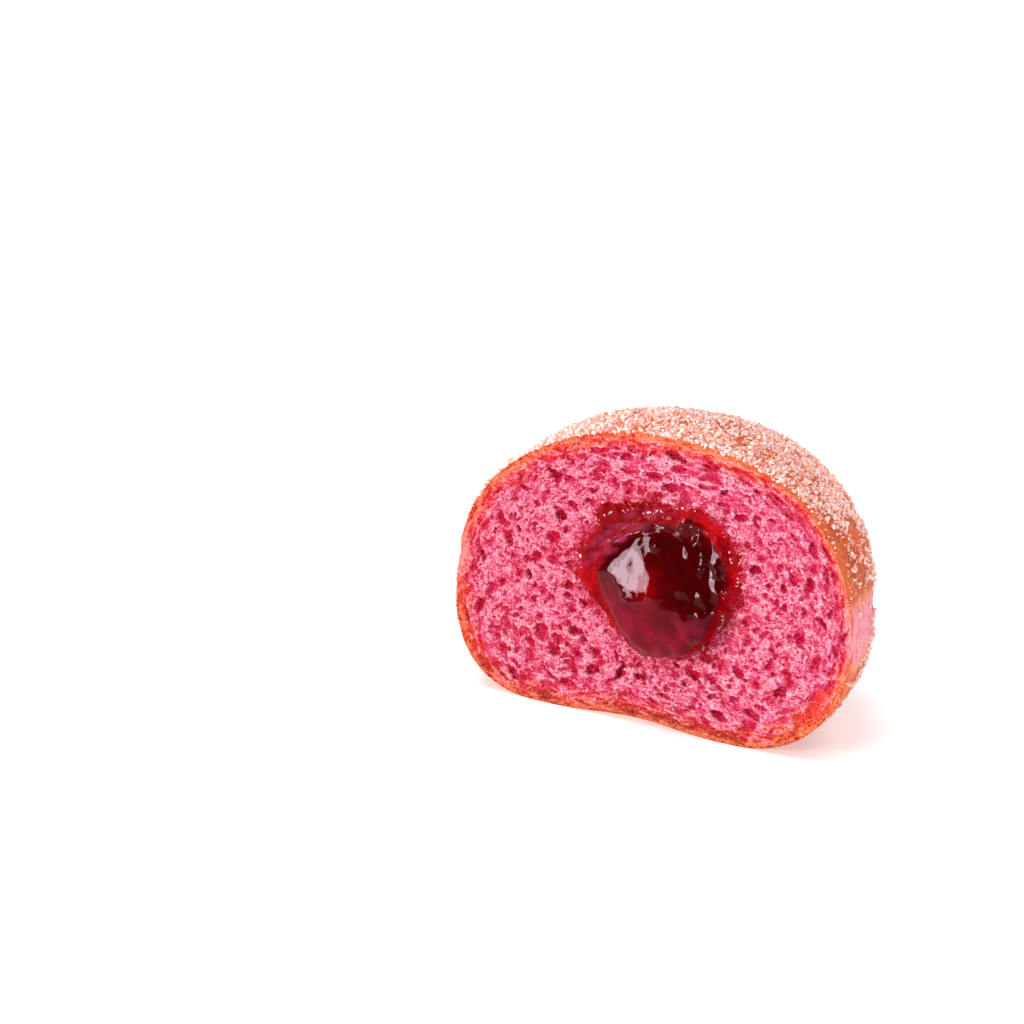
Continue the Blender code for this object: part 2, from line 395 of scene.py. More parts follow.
browned = maths(tree, "MAXIMUM", above_waist, below_waist)
blotch = noise_at(tree, place, 6 * MM, 4.0, 0.6)
speck = noise_at(tree, place, 0.8 * MM, 3.0, 0.65)
brown = mix_colour(tree, spread(tree, blotch, 0.35, 0.72), BARE_CRUST, DARK_CRUST)
brown = mix_colour(tree, spread(tree, speck, 0.50, 0.68), brown, (0.84, 0.26, 0.12))
brown = mix_colour(tree, maths(tree, "MULTIPLY", spread(tree, speck, 0.49, 0.36), 0.7), brown, DARK_CRUST)
low = maths(tree, "MULTIPLY", spread(tree, height, 16 * MM, 2 * MM), 0.45)
brown = mix_colour(tree, low, brown, DARK_CRUST)
lines = noise_at(tree, stretched(tree, place, (1, 1, 0.22)), 0.8 * MM, 3.0, 0.6)
pale = mix_colour(tree, spread(tree, lines, 0.42, 0.70), PALE_WAIST, PINK_WAIST)
pale = mix_colour(tree, spread(tree, noise_at(tree, place, 5 * MM), 0.55, 0.75), pale, (0.92, 0.36, 0.30))
toasted = maths(tree, "MULTIPLY", maths(tree, "SUBTRACT", 1.0, maths(tree, "ABSOLUTE", maths(
    tree, "MULTIPLY_ADD", browned, 2.0, -1.0))), 0.8)
skin_colour = mix_colour(tree, browned, pale, brown)
skin_colour = mix_colour(tree, toasted, skin_colour, (0.90, 0.33, 0.15))
behind_cut = add(tree, "ShaderNodeSeparateXYZ", {0: place})[1]
behind_cut = maths(tree, "MULTIPLY_ADD", wobble, 2.5 * MM, behind_cut)
at_edge = spread(tree, behind_cut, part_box("dough")[0].y + 4.2 * MM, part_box("dough")[0].y - 0.6 * MM)
at_edge = maths(tree, "MULTIPLY", maths(tree, "MULTIPLY", at_edge, browned), 0.6)
skin_colour = mix_colour(tree, at_edge, skin_colour, (0.84, 0.165, 0.050))
tree.links.new(skin_colour, shader["Base Color"])
rough = maths(tree, "MULTIPLY_ADD", speck, 0.35, 0.36)
tree.links.new(rough, shader["Roughness"])
fine = bumped(tree, noise_at(tree, place, 0.22 * MM, 3.0, 0.6), 0.06 * MM, 0.8)
tree.links.new(bumped(tree, speck, 0.25 * MM, 0.7, fine), shader["Normal"])

section = bpy.data.meshes.new("doughnut_section")
rows = section_rows()
section.from_pydata(rows, [(i, i + 1) for i in range(len(rows) - 1)], [])
crust = new_piece("crust", section)
turned = mesh_from(half_turn_tree(), crust, {
    "Turn Steps": TURN_STEPS + 1, "Pimple Size": PIMPLE_SIZE, "Pimple Height": PIMPLE_HEIGHT,
    "Dimple Size": DIMPLE_SIZE, "Dimple Depth": DIMPLE_DEPTH, "Mark Width": STRETCH_MARK_WIDTH,
    "Mark Height": STRETCH_MARK_HEIGHT, "Waist Height": CREASE_HEIGHT, "Waist Reach": WAIST_REACH,
    "Material": crust_material})
skin_points = points_of(turned)
turn = np.repeat(np.linspace(0.0, math.pi, TURN_STEPS + 1), len(rows))
reach = np.hypot(skin_points[:, 0], skin_points[:, 1])
skin_points[:, 1] -= CUT_BEFORE_AXIS * (1.0 - np.sin(turn) * np.minimum(1.0, reach / (2 * MM)))
skin_points = settled(skin_points)
dough_low, dough_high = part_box("dough")
middle_x = (skin_points[:, 0].min() + skin_points[:, 0].max() - dough_low.x - dough_high.x) / 2
CUT_Y = dough_low.y
skin_grid = (skin_points + (-middle_x, CUT_Y, 0.0)).reshape(TURN_STEPS + 1, len(rows), 3)
skin_grid[[0, -1], :, 1] = CUT_Y
skin_grid[..., 2] = np.maximum(skin_grid[..., 2], 0.0)
heart = np.array([(LEAN * 26 * MM) - middle_x, CUT_Y, 27.0 * MM])  # the middle of the cut


def inside_sheet(wall, set_back):
    """A coarser sheet inside the skin, which starts this far behind the cut."""
    step = SKIN_INSIDE_STEP
    coarse = skin_grid[::step, ::step] if (len(rows) - 1) % step == 0 else skin_grid[::step, list(
        range(0, len(rows) - 1, step)) + [len(rows) - 1]]
    away = coarse - heart
    coarse = heart + away * (1.0 - wall / np.linalg.norm(away, axis=-1, keepdims=True))
    behind = coarse[..., 1] - CUT_Y
    coarse[..., 1] = CUT_Y + set_back + behind * (1.0 - set_back / (40.0 * MM))
    return coarse


skin_inside = inside_sheet(SKIN_THICKNESS, LIP_SET_BACK)
outer_faces, outer_number = half_turned_faces(*skin_grid.shape[:2])
outer_points = packed_rows(skin_grid)
inner_faces, inner_number = half_turned_faces(*skin_inside.shape[:2], first=len(outer_points))
all_points = np.vstack([outer_points, packed_rows(skin_inside)])
outer_edge, inner_edge = edge_loop(outer_number), edge_loop(inner_number)
lip = zipped(outer_edge, angles_round(all_points[outer_edge], heart),
             inner_edge, angles_round(all_points[inner_edge], heart))
crust.data = closed_mesh("crust", all_points, outer_faces + inner_faces + lip)
crust.data.materials.append(crust_material)
bpy.data.meshes.remove(section)
bpy.data.meshes.remove(turned)
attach(crust, "root")


# ------------------------------------------------------------------------------------------------------
# The crumb. The dough's inside, coloured pink, as the knife left it: thin torn walls round gas holes,
# finer at the left, flattened along the skin, with a toasted rim where the heat reached. One solid that
# fills the skin, with a pocket that the jelly was pumped into. Its cut face is sunk hole by hole.
MOUTH_X = 5.6 * MM - middle_x
MOUTH_Z = 30.0 * MM
MOUTH_RADIUS = 13.7 * MM
MOUTH_LOBES = ((2, 0.8 * MM, -0.2), (3, 0.8 * MM, -0.9), (5, 0.3 * MM, -2.0))
POCKET_DEPTH = 13.0 * MM
CRUMB_INSIDE_MOUTH = 0.9 * MM
CRUMB_GAP = 0.05 * MM
FACE_STEPS = 860
FACE_RINGS = 106
POCKET_STEPS = 60
POCKET_RINGS = 9
GRAIN = 0.1 * MM  # the step of the raster on which the holes are sunk
DEEPEST = 1.25 * MM
RIM_TOASTED = 2.3 * MM

# The widest holes: (across, up, half length, half width, tilt in degrees), in millimetres.
WIDE_HOLES = (
    (-23, 14.5, 1.7, 1.5, 70), (-32.5, 11.5, 1.2, 1.1, 0), (-35, 11, 0.9, 0.8, 80), (-31, 9, 1.5, 1.1, 100),
    (-25.5, 9, 1.35, 1.1, 110), (-23.5, 6.5, 1.1, 0.7, 170), (-27.5, 25.5, 1.3, 1.0, 60), (-33.5, 21.5, 1.1, 0.8, 80),
    (24, 46, 1.1, 1.0, 0), (19, 48.5, 1.2, 1.0, 150), (30, 51, 1.3, 0.5, 130), (26, 53, 1.3, 0.5, 140),
    (23, 55, 1.5, 0.7, 145), (33, 46, 1.5, 0.6, 120), (33, 39.5, 1.6, 1.3, 100), (24.5, 38, 1.2, 0.8, 140),
    (38, 41.5, 1.3, 0.6, 110), (30, 25, 1.8, 1.2, 70), (29.5, 31, 1.3, 0.9, 80), (33.5, 24, 1.6, 0.65, 85),
    (27, 17, 1.3, 0.8, 20), (33.5, 13.5, 1.7, 1.5, 60), (27, 7.5, 1.5, 0.8, 20), (20, 5, 1.6, 1.4, 20),
    (0, 57.3, 2.1, 0.5, 175), (-12, 53.5, 2.1, 0.5, 18), (4.5, 57.8, 1.7, 0.5, 170), (11, 56.4, 1.6, 1.0, 160),
    (-5.5, 53.8, 1.7, 0.9, 5), (0, 51, 2.1, 1.0, 175), (5, 49.5, 2.2, 0.9, 165), (12, 53, 1.4, 0.9, 160),
    (-17, 4.8, 1.6, 1.0, 165), (-5.7, 5.2, 1.7, 0.7, 170), (-5.5, 9.7, 1.2, 0.8, 30), (8.5, 7, 1.3, 1.0, 60),
    (10.5, 13.6, 1.5, 0.9, 30), (5, 11.6, 1.0, 0.8, 0), (-20.5, 34.4, 1.7, 1.2, 20), (-20.5, 30, 1.5, 0.7, 15),
    (-28.5, 42, 1.2, 0.7, 40), (-30, 33, 1.5, 0.7, 45), (-14, 48, 1.6, 0.5, 15), (24, 38.3, 1.1, 0.8, 150))

skin_edge = edge_loop(skin_grid)
edge_angle = angles_round(skin_edge, heart)
edge_reach = np.hypot(skin_edge[:, 0] - heart[0], skin_edge[:, 2] - heart[2])
order = np.argsort(edge_angle)
edge_angle, edge_reach = edge_angle[order], edge_reach[order]


def skin_reach(angle):
    """How far the skin's outer edge is from the middle of the cut, in this direction."""
    return np.interp(angle, edge_angle, edge_reach, period=math.tau)


def mouth_radius(angle):
    """The jelly's mouth in the cut, from its own middle."""
    return MOUTH_RADIUS + sum(size * np.sin(waves * angle + phase) for waves, size, phase in MOUTH_LOBES)


def from_mouth(x, z):
    """Distance outside the jelly's mouth, and the direction from its middle."""
    angle = np.arctan2(z - MOUTH_Z, x - MOUTH_X)
    return np.hypot(x - MOUTH_X, z - MOUTH_Z) - mouth_radius(angle), angle


class CutFace:
    """Fields over the cut face, on one fine raster: how deep it is sunk and what shows there."""

    def __init__(self, seed):
        self.random = np.random.default_rng(seed)
        self.low = np.array([dough_low.x - 1 * MM, -1 * MM])
        size = ((dough_high.x - dough_low.x + 2 * MM) / GRAIN, (dough_high.z + 2 * MM) / GRAIN)
        self.shape = tuple(int(math.ceil(side)) for side in size)
        self.x = (self.low[0] + GRAIN * np.arange(self.shape[0]))[:, None] * np.ones(self.shape[1])
        self.z = (self.low[1] + GRAIN * np.arange(self.shape[1]))[None, :] * np.ones((self.shape[0], 1))
        self.waves = np.hypot(np.fft.fftfreq(self.shape[0])[:, None], np.fft.rfftfreq(self.shape[1])) / GRAIN

    def soft(self, field, size):
        """The field with everything smaller than this smoothed away."""
        kept = np.exp(-0.5 * (self.waves * size * 2.0) ** 2)
        return np.fft.irfft2(np.fft.rfft2(field) * kept, s=self.shape)

    def noise(self, size):
        """Noise of this size with mean 0 and spread 1."""
        field = self.soft(self.random.normal(size=self.shape), size)
        return (field - field.mean()) / field.std()

    def at(self, field, x, z):
        """The field between its raster points."""
        u = np.clip((x - self.low[0]) / GRAIN, 0, self.shape[0] - 1.001)
        v = np.clip((z - self.low[1]) / GRAIN, 0, self.shape[1] - 1.001)
        i, j = u.astype(int), v.astype(int)
        u, v = u - i, v - j
        if field.ndim == 3:
            u, v = u[..., None], v[..., None]
        return ((field[i, j] * (1 - u) + field[i + 1, j] * u) * (1 - v)
                + (field[i, j + 1] * (1 - u) + field[i + 1, j + 1] * u) * v)


face = CutFace(20)
direction = np.arctan2(face.z - heart[2], face.x - heart[0])
from_heart = np.hypot(face.x - heart[0], face.z - heart[2])
step = 0.01
slope = (skin_reach(direction + step) - skin_reach(direction - step)) / (2 * step)
lean_of_edge = np.arctan2(slope, skin_reach(direction))
under_skin = (skin_reach(direction) - from_heart) * np.cos(lean_of_edge)  # depth in from the skin
along_skin = direction + math.pi / 2 - lean_of_edge  # the direction in which the skin runs
beyond_mouth = from_mouth(face.x, face.z)[0]
edge_line = np.column_stack([np.cos(edge_angle), np.sin(edge_angle)]) * edge_reach[:, None]
edge_run = np.append(0.0, np.cumsum(np.linalg.norm(np.diff(edge_line, axis=0), axis=1)))
along_edge = np.interp(direction, edge_angle, edge_run)  # the way round the skin to this point


def fibres(size, stretch, seed_field):
    """Noise drawn out along the skin."""
    span = np.array(face.shape) * GRAIN * 0.98
    return face.at(seed_field, face.low[0] + (along_edge / stretch) % span[0],
                   face.low[1] + (np.maximum(under_skin, 0.0) * size) % span[1])


# Gas holes as lying ellipsoids: (x, z, half length, half width, half depth, tilt, how far behind the cut).
holes = []


def sow(count, smallest, largest, flattening, near_skin=None, lean=0.35, below=1.0):
    """Adds holes at random places, drawn out along the skin, more so nearer to it."""
    kept = 0
    while kept < count:
        x = face.random.uniform(dough_low.x, dough_high.x)
        z = face.random.uniform(0.0, min(below, dough_high.z))
        i, j = int((x - face.low[0]) / GRAIN), int((z - face.low[1]) / GRAIN)
        inside = under_skin[i, j]
        if inside < 0.5 * MM or beyond_mouth[i, j] < -1.5 * MM:
            continue
        if near_skin and not near_skin[0] < inside < near_skin[1]:
            continue
        if inside < 1.6 * MM and below == 1.0 and face.random.random() < 0.75:
            continue
        size = smallest * (largest / smallest) ** (face.random.random() ** 1.6)
        fine = 1.0 - 0.15 * float(smoothstep((-x - 8 * MM) / (14 * MM))) * float(smoothstep((z - 12 * MM) / (10 * MM)))
        size *= fine
        flat = 1.0 + (flattening - 1.0) * math.exp(-inside / (9 * MM))
        tilt = along_skin[i, j] + face.random.normal() * lean * (1.0 + min(1.5, inside / (9 * MM)))
        depth = size * face.random.uniform(0.7, 1.2)
        holes.append((x, z, size * flat, size / flat**0.5, depth, tilt, face.random.uniform(-0.7, 0.75) * depth))
        kept += 1


for x, z, length, width, tilt in WIDE_HOLES:
    grow = face.random.uniform(0.95, 1.1)
    holes.append((x * MM, z * MM, length * grow * MM, width * grow * MM, 0.95 * width * MM,
                  math.radians(tilt), face.random.uniform(-0.1, 0.3) * width * MM))
sow(260, 0.70 * MM, 1.25 * MM, 2.2)
sow(240, 0.45 * MM, 0.95 * MM, 3.0, near_skin=(1.2 * MM, 4.2 * MM), lean=0.15)
sow(2600, 0.36 * MM, 0.75 * MM, 2.8, lean=0.28)
sow(12000, 0.21 * MM, 0.38 * MM, 2.4)
sow(60, 0.46 * MM, 0.74 * MM, 3.4, near_skin=(0.8 * MM, 1.8 * MM), lean=0.1, below=9 * MM)


def sink(sunk, hole):
    """Opens one hole where the face, as sunk so far, already lies inside it."""
    x, z, length, width, depth, tilt, behind = hole
    span = length * 1.25
    i0, i1 = (int(round((x + side * span - face.low[0]) / GRAIN)) for side in (-1, 1))
    j0, j1 = (int(round((z + side * span - face.low[1]) / GRAIN)) for side in (-1, 1))
    i0, j0, i1, j1 = max(i0, 0), max(j0, 0), min(i1 + 1, face.shape[0]), min(j1 + 1, face.shape[1])
    if i1 - i0 < 2 or j1 - j0 < 2:
        return
    dx, dz = face.x[i0:i1, j0:j1] - x, face.z[i0:i1, j0:j1] - z
    along = (dx * math.cos(tilt) + dz * math.sin(tilt)) / length
    across = (-dx * math.sin(tilt) + dz * math.cos(tilt)) / width
    around = np.arctan2(across, along)
    phase = x / GRAIN + z / (3 * GRAIN)
    rim = 1.0 + 0.10 * np.sin(2 * around + phase) + 0.08 * np.sin(3 * around + 2.3 * phase) + 0.05 * np.sin(
        7 * around + phase)
    out = (along**2 + across**2) / rim**2
    half = depth * np.sqrt(np.maximum(0.0, 1.0 - out))
    patch = sunk[i0:i1, j0:j1]
    opened = (out < 1.0) & (behind - half <= patch + 0.02 * MM) & (behind + half > patch)
    patch[opened] = (behind + half)[opened]


sunk = np.zeros(face.shape)
for hole in holes:
    sink(sunk, hole)
for hole in holes[:1800]:
    sink(sunk, hole)
sunk = np.minimum(0.52 * sunk, DEEPEST + 0.12 * MM * face.noise(0.6 * MM))
in_band = 1.0 - smoothstep((under_skin - 0.4 * MM) / (1.2 * MM))
sunk *= 1.0 - 0.35 * in_band
fibrous = fibres(1.6, 3.0, face.noise(0.5 * MM))
near_skin = np.exp(-np.maximum(under_skin, 0.0) / (5.0 * MM))
sunk = sunk + 0.16 * MM * np.maximum(fibrous - 0.1, 0.0) * near_skin
torn = 0.045 * MM * face.noise(0.22 * MM) + 0.05 * MM * face.noise(0.5 * MM) + 0.10 * MM * face.noise(3.0 * MM)
walls = np.exp(-sunk / (0.25 * MM))
crumbs = np.maximum(0.0, face.noise(0.25 * MM) - 1.1) * 0.09 * MM
sunk = sunk + torn * (0.45 + 0.55 * walls) * (1.0 - 0.5 * in_band) - crumbs * walls * (1.0 - in_band)
rounding = 0.22 * MM * np.exp(-np.maximum(under_skin, 0.0) / (0.22 * MM))
sunk = np.maximum(sunk, -0.28 * MM) + rounding
near_jelly = 1.0 - smoothstep(beyond_mouth / (2.6 * MM))
mouth_angle = from_mouth(face.x, face.z)[1]
upper = smoothstep(0.5 + 0.9 * np.cos(mouth_angle - 1.9))
sunk = sunk * (1.0 - 0.35 * near_jelly) + (0.15 + 1.15 * upper) * MM * near_jelly
wedge = np.maximum(under_skin, 0.0) * 1.35 + 0.01 * MM
sunk = np.where(under_skin < 2.0 * MM, np.minimum(sunk, wedge), sunk)

# The crumb's colours, from the bottoms of the holes (0), where the palette paints shade, to the torn edges of the walls
# (1), where it paints a highlight.
CRUMB_SHADES = ((0.00, (0.26, 0.0002, 0.010)), (0.07, (0.345, 0.0008, 0.021)), (0.25, (0.46, 0.018, 0.066)),
                (0.50, (0.545, 0.062, 0.132)), (0.75, (0.61, 0.120, 0.207)), (0.95, (0.71, 0.25, 0.345)),
                (1.00, (0.83, 0.44, 0.53)))
# The HOLE colours are darker copies of the rim's colours for the insides of holes and fibre grooves: painted shade.
CRUMB_SKINNED = (0.64, 0.070, 0.145)
TOASTED = (0.70, 0.140, 0.044)
TOASTED_EDGE = (0.82, 0.275, 0.130)
TOASTED_HOLE_SHADED = (0.55, 0.045, 0.016)
TOASTED_BASE = (0.54, 0.105, 0.032)
BASE_HOLE_SHADED = (0.27, 0.030, 0.009)
CORAL = (0.80, 0.112, 0.090)
CORAL_HOLE_SHADED = (0.62, 0.010, 0.030)
PALE_RIM = (0.84, 0.27, 0.28)
PALE_RIM_HOLE_SHADED = (0.76, 0.090, 0.145)
WET_CRUMB = (0.33, 0.005, 0.016)

around_mean = face.soft(sunk, 0.45 * MM)
wall_top_highlight = np.clip((around_mean - sunk - 0.02 * MM) / (0.18 * MM), 0.0, 1.0)
openness = smoothstep((sunk - 0.05 * MM) / (0.30 * MM))
# Painted shade and light: darker the deeper the face is sunk, with a painted highlight on the wall tops.
shade = -1.35 * (1.0 - np.exp(-np.maximum(face.soft(sunk, 0.12 * MM), 0.0) / (0.35 * MM))) + 0.45 * wall_top_highlight
shade += (0.14 * face.noise(0.22 * MM) + 0.14 * face.noise(0.45 * MM)) * (1.0 - 0.75 * openness)
strands = fibres(1.3, 3.6, face.noise(0.30 * MM))
shade += 0.26 * strands * np.exp(-np.maximum(under_skin, 0.0) / (9.0 * MM)) * (1.0 - 0.5 * openness)
# Real tone in broad blotches, and painted shade in the fibre grooves near the skin, which the same noise sinks.
shade += 0.07 * face.noise(1.2 * MM) + 0.06 * face.noise(4.0 * MM) - 0.16 * near_skin * np.maximum(fibrous, 0.0)
steepness = np.hypot(*np.gradient(sunk, GRAIN))
# Painted shade on the steep walls of the holes.
shade -= 0.55 * smoothstep((face.soft(steepness, 0.08 * MM) - 0.6) / 1.3)
shade -= 0.75 * (face.soft(shade, 5.0 * MM) - shade.mean())
inside = (under_skin > 0) & (beyond_mouth > 0)
level = np.searchsorted(np.sort(shade[inside]), shade) / inside.sum()
stops, shades = np.array([stop for stop, _ in CRUMB_SHADES]), np.array([colour for _, colour in CRUMB_SHADES])
look = np.stack([np.interp(level, stops, shades[:, i]) for i in range(3)], axis=-1)
waist_face = np.exp(-(((face.z - 26.5 * MM) / (4.5 * MM)) ** 2)) * (np.abs(face.x - heart[0]) > 15 * MM)
base_face = smoothstep((13 * MM - face.z) / (8 * MM)) * np.abs(np.cos(along_skin)) ** 0.7
rim_width = RIM_TOASTED * (1.0 + 0.22 * face.noise(1.6 * MM) + 0.25 * fibrous) * (1.0 + 0.15 * base_face)
corner = np.exp(-(((direction + 0.55) / 0.28) ** 2))  # lower right, where the skin browned deepest
rim_width *= 1.0 - 0.5 * smoothstep((face.x - 18 * MM) / (8 * MM)) * (1.0 - base_face) * (1.0 - corner) + 0.7 * corner
toasted = 1.0 - smoothstep((under_skin - rim_width * 0.15) / (rim_width * 1.25))
coral = 1.0 - smoothstep((under_skin - rim_width * 0.7) / (2.8 * MM))
coral_look = blend_of(blend_of(CORAL_HOLE_SHADED, CORAL, smoothstep(level / 0.7)), (0.88, 0.31, 0.28), smoothstep((level - 0.6) / 0.4))
look = blend_of(look, coral_look, 0.75 * coral * (1.0 - 0.8 * waist_face))
# Inside holes and fibre grooves the rim takes its darker colours: painted shade.
rim_look = blend_of(TOASTED, TOASTED_HOLE_SHADED, np.maximum(openness, 0.8 * smoothstep(0.1 + 0.6 * fibrous)))
base_look = blend_of(TOASTED_BASE, BASE_HOLE_SHADED, np.maximum(openness, smoothstep(0.7 * fibrous)))
rim_look = blend_of(rim_look, base_look, 0.9 * base_face * (1.0 - 0.6 * corner))
streaky = smoothstep(0.5 + 0.5 * face.noise(0.4 * MM))
# The rim's torn wall tops get a painted highlight; the streaks are paler crust.
rim_look = blend_of(rim_look, TOASTED_EDGE, 0.5 * wall_top_highlight + 0.4 * streaky * (1.0 - openness))
rim_look = blend_of(rim_look, blend_of(PALE_RIM, PALE_RIM_HOLE_SHADED, openness), 0.85 * waist_face)
look = blend_of(look, rim_look, toasted)
skin_line = 1.0 - smoothstep(under_skin / (0.75 * MM))
look = blend_of(look, (0.57, 0.110, 0.040), 0.35 * skin_line * (1.0 - waist_face))
across = smoothstep((face.x + 18 * MM) / (36 * MM))  # painted shade on the left and painted light on the right, evening out the key light from the left
look = look * blend_of((0.94, 0.85, 0.87), (1.03, 1.12, 1.09), across)
wet_reach = (3.8 + 1.6 * face.noise(2.2 * MM) + 0.8 * face.noise(0.6 * MM)) * MM
wet = 1.0 - smoothstep((beyond_mouth - 2.2 * MM) / np.maximum(wet_reach, 0.5 * MM))
wet *= 1.0 - 0.65 * smoothstep((-0.1 - np.sin(mouth_angle)) / 0.5)  # drier below, where the jelly hangs clear
look = blend_of(look, look * (0.70, 0.20, 0.30), 0.9 * wet)
look = blend_of(look, WET_CRUMB, 0.75 * wet**1.5)
look = np.clip(look, 0.0, 1.0)

mean_angle = np.linspace(-math.pi, math.pi, 4000, endpoint=False)
mouth_ring = np.column_stack([MOUTH_X + (mouth_radius(mean_angle) - CRUMB_INSIDE_MOUTH) * np.cos(mean_angle),
                              MOUTH_Z + (mouth_radius(mean_angle) - CRUMB_INSIDE_MOUTH) * np.sin(mean_angle)])


def rim_point(angle):
    """The point of the skin's edge seen in this direction from the middle of the mouth."""
    reach = np.full(angle.shape, 30.0 * MM)
    for _ in range(40):
        x, z = MOUTH_X + reach * np.cos(angle), MOUTH_Z + reach * np.sin(angle)
        short = skin_reach(np.arctan2(z - heart[2], x - heart[0])) - np.hypot(x - heart[0], z - heart[2])
        reach = reach + 0.8 * short
    return reach


outer = rim_point(mean_angle)
mid = (outer + mouth_radius(mean_angle)) / 2
run = np.concatenate([[0.0], np.cumsum(np.hypot(np.diff(mid, append=mid[0]), mid * (mean_angle[1] - mean_angle[0])))])
angle = np.interp(np.linspace(0.0, run[-1], FACE_STEPS, endpoint=False), run, np.append(mean_angle, math.pi))
inner_reach = mouth_radius(angle) - CRUMB_INSIDE_MOUTH
outer_reach = rim_point(angle) - 0.03 * MM
share = np.linspace(0.0, 1.0, FACE_RINGS)[None, :]
jitter = face.random.uniform(-0.28, 0.28, size=(2, FACE_STEPS, FACE_RINGS))
jitter[:, :, [0, -1]] = 0.0
share = np.clip(share + jitter[0] / (FACE_RINGS - 1), 0.0, 1.0)
angle_at = angle[:, None] + jitter[1] * (math.tau / FACE_STEPS)
reach = inner_reach[:, None] + (outer_reach - inner_reach)[:, None] * share
x, z = MOUTH_X + reach * np.cos(angle_at), MOUTH_Z + reach * np.sin(angle_at)
y = CUT_Y + face.at(sunk, x, z)
y[:, -1] = CUT_Y + 0.005 * MM
face_points = np.stack([x, y, np.maximum(z, 0.0)], axis=-1)
face_number = np.arange(FACE_STEPS * FACE_RINGS).reshape(FACE_STEPS, FACE_RINGS)
following = np.roll(face_number, -1, axis=0)
face_faces = np.stack([face_number[:, :-1], following[:, :-1], following[:, 1:], face_number[:, 1:]],
                      axis=-1).reshape(-1, 4).tolist()
crumb_inside = inside_sheet(SKIN_THICKNESS + CRUMB_GAP, LIP_SET_BACK + 0.1 * MM)
back_faces, back_number = half_turned_faces(*crumb_inside.shape[:2], first=face_number.size)
crumb_points = np.vstack([face_points.reshape(-1, 3), packed_rows(crumb_inside)])


def pocket(grow, first):
    """The rounded pocket behind the mouth: rings of points, and the faces to its far end."""
    turn = np.linspace(-math.pi, math.pi, POCKET_STEPS, endpoint=False)
    lift = np.linspace(0.06, math.pi / 2, POCKET_RINGS)
    radius = (mouth_radius(turn) + grow)[:, None] * np.cos(lift)
    points = np.stack([MOUTH_X + radius * np.cos(turn)[:, None],
                       np.broadcast_to(CUT_Y + (POCKET_DEPTH + grow) * np.sin(lift), radius.shape),
                       MOUTH_Z + radius * np.sin(turn)[:, None]], axis=-1)
    number = first + np.arange(points[:, :-1, 0].size).reshape(POCKET_STEPS, POCKET_RINGS - 1)
    end = first + number.size
    after = np.roll(number, -1, axis=0)
    faces = np.stack([number[:, :-1], after[:, :-1], after[:, 1:], number[:, 1:]], axis=-1).reshape(-1, 4).tolist()
    faces += [(int(a), int(b), end) for a, b in zip(number[:, -1], after[:, -1])]
    return np.vstack([points[:, :-1].reshape(-1, 3), points[0, -1]]), faces, number[:, 0]


pocket_points, pocket_faces, pocket_ring = pocket(-CRUMB_INSIDE_MOUTH, len(crumb_points))
crumb_points = np.vstack([crumb_points, pocket_points])
back_edge = edge_loop(back_number)
mouth_middle = np.array([MOUTH_X, CUT_Y, MOUTH_Z])
joins = zipped(face_number[:, -1], angles_round(crumb_points[face_number[:, -1]], mouth_middle),
               back_edge, angles_round(crumb_points[back_edge], mouth_middle))
joins += zipped(face_number[:, 0], angles_round(crumb_points[face_number[:, 0]], mouth_middle),
                pocket_ring, angles_round(crumb_points[pocket_ring], mouth_middle))
crumb_mesh = closed_mesh("crumb", crumb_points, face_faces + back_faces + pocket_faces + joins)
colours = np.full((len(crumb_points), 3), CRUMB_SKINNED)
colours[:face_number.size] = face.at(look, x, z).reshape(-1, 3)
tint(crumb_mesh, colours)
# Where the painted glints and the paler, lit crumb go: on the wall tops, away from the jelly's wet and the toasted rim.
glint_mask = np.zeros(len(crumb_points))
glint_mask[:face_number.size] = face.at(
    smoothstep((level - 0.3) / 0.5) * (1.0 - 0.7 * wet) * (1.0 - 0.75 * toasted), x, z).ravel()
crumb_mesh.attributes.new("Glints", "FLOAT", "POINT").data.foreach_set("value", glint_mask)

crumb_material, tree, shader = new_material("pink_crumb", Roughness=0.8, Specular_IOR_Level=0.0)
place = add(tree, "ShaderNodeTexCoord")["Object"]
dye = add(tree, "ShaderNodeAttribute", attribute_name="Tint")["Color"]
glint_mask = add(tree, "ShaderNodeAttribute", attribute_name="Glints")["Fac"]
crumbly = noise_at(tree, place, 0.40 * MM, 2.0, 0.6)
grainy = noise_at(tree, place, 0.27 * MM, 1.0, 0.6)
pitted = noise_at(tree, stretched(tree, place, (0.8, 1.0, 1.15)), 0.62 * MM, 1.0, 0.5)
tone = maths(tree, "MULTIPLY_ADD", grainy, 0.5, maths(tree, "MULTIPLY", crumbly, 0.5))
# Painted shade: darker crumb where the fine bumps dip, and in the small pits below.
sunken = mix_colour(tree, 1.0, dye, (0.88, 0.34, 0.52), "MULTIPLY")
dye = mix_colour(tree, spread(tree, tone, 0.49, 0.40), dye, sunken)
# Painted light on the wall tops: paler crumb where the tone is high, and pale torn crumbs and painted glints as specks.
lit = maths(tree, "MULTIPLY_ADD", glint_mask, 0.85, 0.10)
dye = mix_colour(tree, maths(tree, "MULTIPLY", spread(tree, tone, 0.50, 0.60), maths(tree, "MULTIPLY", lit, 0.5)),
                 dye, (0.88, 0.35, 0.43))
threads = noise_at(tree, place, 0.85 * MM, 1.0, 0.5, 0.6)
threads = spread(tree, maths(tree, "ABSOLUTE", maths(tree, "SUBTRACT", threads, 0.5)), 0.045, 0.0)
threads = maths(tree, "MULTIPLY", threads, spread(tree, tone, 0.44, 0.53))
specks_and_glints = maths(tree, "MAXIMUM", spread(tree, tone, 0.60, 0.67), maths(tree, "MULTIPLY", threads, 0.30))
dye = mix_colour(tree, maths(tree, "MULTIPLY", specks_and_glints, lit), dye, (0.95, 0.66, 0.72))
